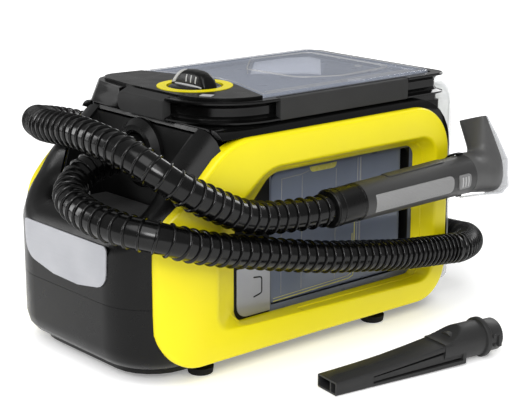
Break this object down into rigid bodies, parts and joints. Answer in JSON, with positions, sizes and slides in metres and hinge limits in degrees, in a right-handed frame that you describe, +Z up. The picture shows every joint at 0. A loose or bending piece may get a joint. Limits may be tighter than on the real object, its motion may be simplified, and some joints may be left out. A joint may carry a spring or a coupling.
{
  "type": "spot extractor",
  "caption": "Compact battery spot cleaner with see-through tanks, yellow side shells, a carrying rim, a ribbed suction hose wound round the body, a hand nozzle and a crevice nozzle.",
  "frame": {"origin": "on the floor, under the middle of the machine and the crevice nozzle beside it, with the hose left out", "axes": "+Y to the machine's rear along its length, +X to its right side where the wand is clipped, +Z up"},
  "size_m": [0.4133, 0.5091, 0.2741],
  "materials": {
    "yellow_shell": "smooth yellow plastic, slightly glossy",
    "gloss_black": "polished black plastic",
    "satin_black": "satin black plastic",
    "dark_plastic": "unpolished black plastic",
    "silver": "brushed silver plate, blank",
    "matt_graphite": "fine-grained dark grey plastic",
    "yellow_mark": "yellow dial ring",
    "light_grey": "light grey plastic",
    "smoke_clear": "smoked see-through plastic",
    "soft_rubber": "soft black rubber",
    "float_white": "white plastic",
    "milky_clear": "clear plastic, slightly milky",
    "foot_rubber": "black rubber",
    "motor_steel": "plain steel",
    "board_green": "green circuit board",
    "satin_graphite": "satin anthracite plastic",
    "clear_hose": "soft clear tube",
    "hose_black": "ribbed black hose",
    "mid_grey": "mid grey plastic",
    "nozzle_clear": "clear nozzle cover"
  },
  "bodies": {
    "machine": {"badge_plate": "silver", "base_pan": "satin_black", "battery_contacts": "dark_plastic", "bay_liner": "dark_plastic", "control_board": "board_green", "control_panel": "satin_black", "deck_plate": "gloss_black", "fan_housing": "dark_plastic", "foot_front_left": "foot_rubber", "foot_front_right": "foot_rubber", "foot_rear_left": "foot_rubber", "foot_rear_right": "foot_rubber", "front_bar": "matt_graphite", "front_lower_cover": "satin_black", "front_upper_cover": "satin_black", "hose_coupling": "satin_black", "hose_cuff": "satin_black", "index_mark": "light_grey", "knob_ring": "yellow_mark", "label_plate_left": "silver", "label_plate_right": "silver", "main_housing": "dark_plastic", "mode_switch": "dark_plastic", "port_bezel": "satin_black", "rear_bulkhead": "dark_plastic", "rim_frame": "gloss_black", "shoulder_strip_left": "gloss_black", "shoulder_strip_right": "gloss_black", "side_bar_right": "matt_graphite", "side_shell_left": "yellow_shell", "side_shell_right": "yellow_shell", "spray_line": "clear_hose", "suction_duct": "dark_plastic", "suction_hose": "hose_black", "tank_shelf": "dark_plastic", "vacuum_motor": "motor_steel", "wand_clip": "satin_black", "water_pump": "dark_plastic"},
    "knob": {"mode_knob": "satin_black"},
    "dirty_water_tank": {"dirty_tank": "smoke_clear", "lid_seal": "soft_rubber", "intake_riser": "smoke_clear", "float_cage": "smoke_clear"},
    "lid": {"tank_lid": "smoke_clear"},
    "float": {"float_valve": "float_white"},
    "fresh_water_tank": {"fresh_tank": "milky_clear"},
    "filler_cap": {"fresh_tank_cap": "satin_black"},
    "fan": {"impeller": "float_white"},
    "plunger": {"pump_plunger": "motor_steel"},
    "battery": {"battery_pack": "satin_graphite"},
    "release_tab_left": {"battery_tab_left": "light_grey"},
    "release_tab_right": {"battery_tab_right": "light_grey"},
    "wand": {"wand_handle": "satin_graphite", "grip_insert": "mid_grey"},
    "trigger": {"spray_trigger": "satin_graphite"},
    "nozzle_release": {"release_button": "mid_grey"},
    "nozzle": {"nozzle_body": "satin_graphite", "nozzle_cover": "nozzle_clear"},
    "crevice_nozzle": {"crevice_tool": "satin_graphite"}
  },
  "joints": [
    {"name": "knob_turn", "type": "hinge", "parent": "machine", "child": "knob", "pos_m": [-0.05613, -0.07872, 0.2575], "axis": [0, 0, 1], "range_deg": [0, 90]},
    {"name": "dirty_tank_lift", "type": "slide", "parent": "machine", "child": "dirty_water_tank", "axis": [0, 0, 1], "range_m": [0, 0.24]},
    {"name": "lid_lift", "type": "slide", "parent": "dirty_water_tank", "child": "lid", "axis": [0, 0, 1], "range_m": [0, 0.06]},
    {"name": "float_rise", "type": "slide", "parent": "dirty_water_tank", "child": "float", "axis": [0, 0, 1], "range_m": [0, 0.05]},
    {"name": "fresh_tank_lift", "type": "slide", "parent": "machine", "child": "fresh_water_tank", "axis": [0, 0, 1], "range_m": [0, 0.24]},
    {"name": "filler_cap_lift", "type": "slide", "parent": "fresh_water_tank", "child": "filler_cap", "axis": [0, 0, 1], "range_m": [0, 0.03]},
    {"name": "fan_spin", "type": "hinge", "parent": "machine", "child": "fan", "pos_m": [-0.11313, -0.09322, 0.115], "axis": [0, 0, 1], "continuous": true},
    {"name": "pump_stroke", "type": "slide", "parent": "machine", "child": "plunger", "axis": [0, 0, 1], "range_m": [0, 0.004]},
    {"name": "battery_lift", "type": "slide", "parent": "machine", "child": "battery", "axis": [0, 0, 1], "range_m": [0, 0.015]},
    {"name": "battery_tab_left_press", "type": "slide", "parent": "battery", "child": "release_tab_left", "axis": [1, 0, 0], "range_m": [0, 0.0018], "stiffness_N_per_m": 400, "springref_m": -0.001},
    {"name": "battery_tab_right_press", "type": "slide", "parent": "battery", "child": "release_tab_right", "axis": [-1, 0, 0], "range_m": [0, 0.0018], "stiffness_N_per_m": 400, "springref_m": -0.001},
    {"name": "wand_swivel", "type": "hinge", "parent": "machine", "child": "wand", "pos_m": [0.07487, 0.09425, 0.15176], "axis": [0, 0.9997, 0.023], "range_deg": [0, 40]},
    {"name": "trigger_press", "type": "slide", "parent": "wand", "child": "trigger", "axis": [0, 0.023, -0.9997], "range_m": [0, 0.0025], "stiffness_N_per_m": 600, "springref_m": -0.002},
    {"name": "nozzle_release_press", "type": "slide", "parent": "wand", "child": "nozzle_release", "axis": [-0.9986, -0.0012, 0.0523], "range_m": [0, 0.002], "stiffness_N_per_m": 600, "springref_m": -0.001},
    {"name": "nozzle_pull", "type": "slide", "parent": "wand", "child": "nozzle", "axis": [0, 0.9997, 0.023], "range_m": [0, 0.035]},
    {"name": "crevice_nozzle_lift", "type": "slide", "parent": "machine", "child": "crevice_nozzle", "axis": [0, 0, 1], "range_m": [0, 0.1]}
  ]
}
